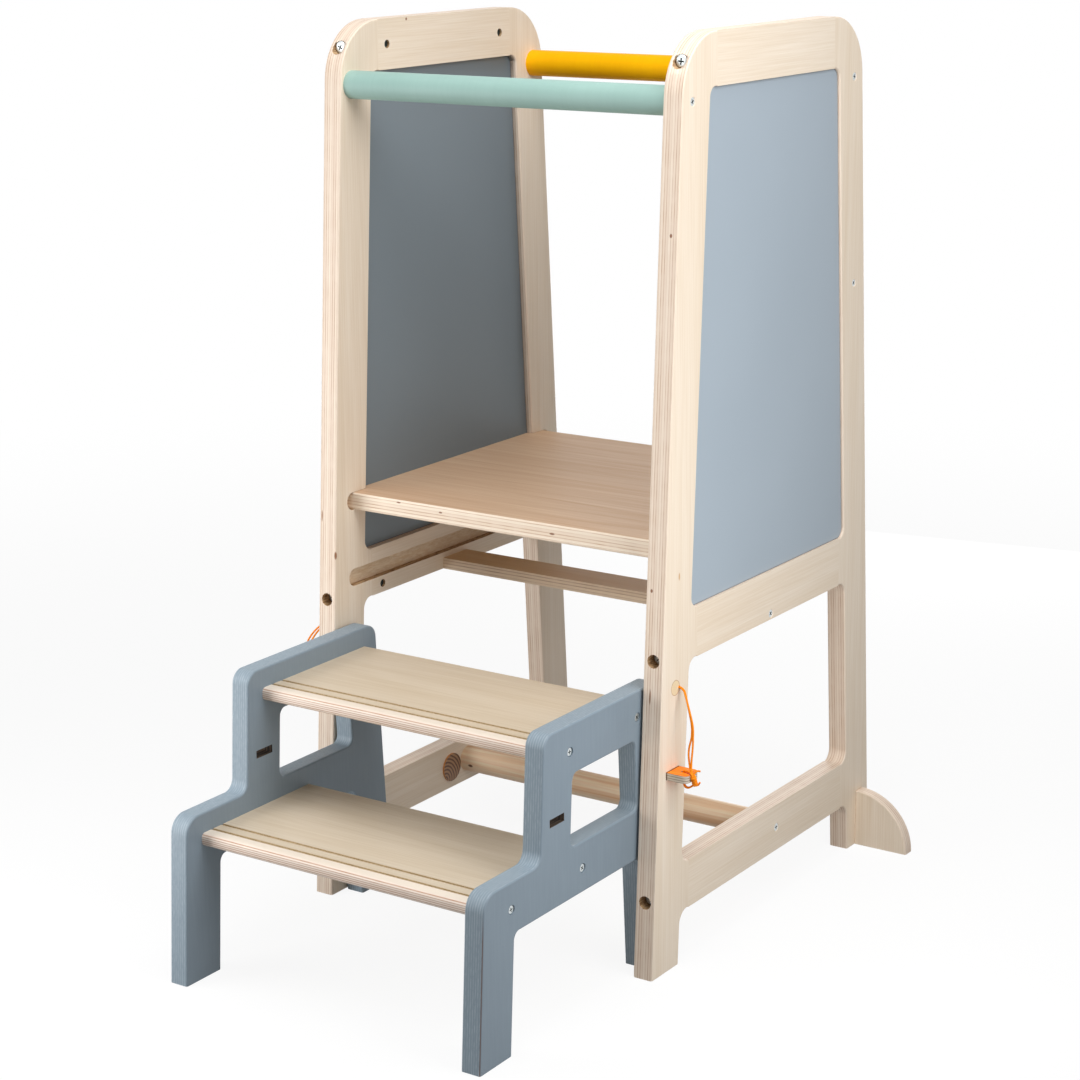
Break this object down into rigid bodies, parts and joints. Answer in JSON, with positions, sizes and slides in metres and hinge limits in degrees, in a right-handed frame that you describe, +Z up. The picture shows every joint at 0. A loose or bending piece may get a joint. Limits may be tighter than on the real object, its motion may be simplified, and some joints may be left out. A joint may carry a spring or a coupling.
{
  "type": "toddler kitchen helper stool",
  "caption": "Plywood learning tower with two side frames, raised platform, grip bars and a pull-out step stool locked by two corded wooden keys.",
  "frame": {"origin": "On the floor, at the middle of the footprint of the tower with its step stool pulled out. The tower's own mid-plane is 126.75 mm behind it.", "axes": "+X is to the right as one faces the steps' front and looks towards the tower, +Y goes from the steps through the tower to its back, +Z is up."},
  "size_m": [0.538, 0.7114, 0.9],
  "materials": {
    "frame_ply": "clear matt varnish on birch plywood",
    "board_ply": "clear matt varnish on birch plywood",
    "stool_paint": "satin blue-grey stain on plywood",
    "panel_paint": "satin blue-grey coating",
    "mint_paint": "satin mint paint",
    "yellow_paint": "satin yellow paint",
    "beech_dowel": "clear matt varnish",
    "plug_wood": "clear matt varnish",
    "key_ply": "orange stain on the faces, bare edges",
    "orange_cord": "thin round cord",
    "zinc_plated_steel": "zinc plated"
  },
  "bodies": {
    "tower": {"accessory_screw": "zinc_plated_steel", "bar_screws": "zinc_plated_steel", "barrel_nuts": "zinc_plated_steel", "cross_rail": "board_ply", "frame_bolts": "zinc_plated_steel", "front_grip_bar": "mint_paint", "left_bottom_rail": "frame_ply", "left_cord_plug": "plug_wood", "left_front_stile": "frame_ply", "left_middle_rail": "frame_ply", "left_panel": "panel_paint", "left_rear_stile": "frame_ply", "left_spare_stub": "beech_dowel", "left_stabiliser": "frame_ply", "left_top_rail": "frame_ply", "lower_spreader": "beech_dowel", "platform": "board_ply", "rear_grip_bar": "yellow_paint", "right_bottom_rail": "frame_ply", "right_cord_plug": "plug_wood", "right_front_stile": "frame_ply", "right_middle_rail": "frame_ply", "right_panel": "panel_paint", "right_rear_stile": "frame_ply", "right_spare_stub": "beech_dowel", "right_stabiliser": "frame_ply", "right_top_rail": "frame_ply", "stabiliser_screws": "zinc_plated_steel"},
    "step_stool": {"stool_left_side": "stool_paint", "stool_right_side": "stool_paint", "upper_step": "board_ply", "lower_step": "board_ply", "step_screws": "zinc_plated_steel"},
    "left_key": {"left_key": "key_ply", "left_cord": "orange_cord", "left_cord_knot": "orange_cord"},
    "right_key": {"right_key": "key_ply", "right_cord": "orange_cord", "right_cord_knot": "orange_cord"}
  },
  "joints": [
    {"name": "stool_slide", "type": "slide", "parent": "tower", "child": "step_stool", "axis": [0, 1, 0], "range_m": [-0.08, 0.1645]},
    {"name": "left_key_slide", "type": "slide", "parent": "tower", "child": "left_key", "axis": [-1, 0, 0], "range_m": [-0.011, 0.012], "deforming": ["left_cord"]},
    {"name": "right_key_slide", "type": "slide", "parent": "tower", "child": "right_key", "axis": [1, 0, 0], "range_m": [-0.011, 0.012], "deforming": ["right_cord"]}
  ]
}
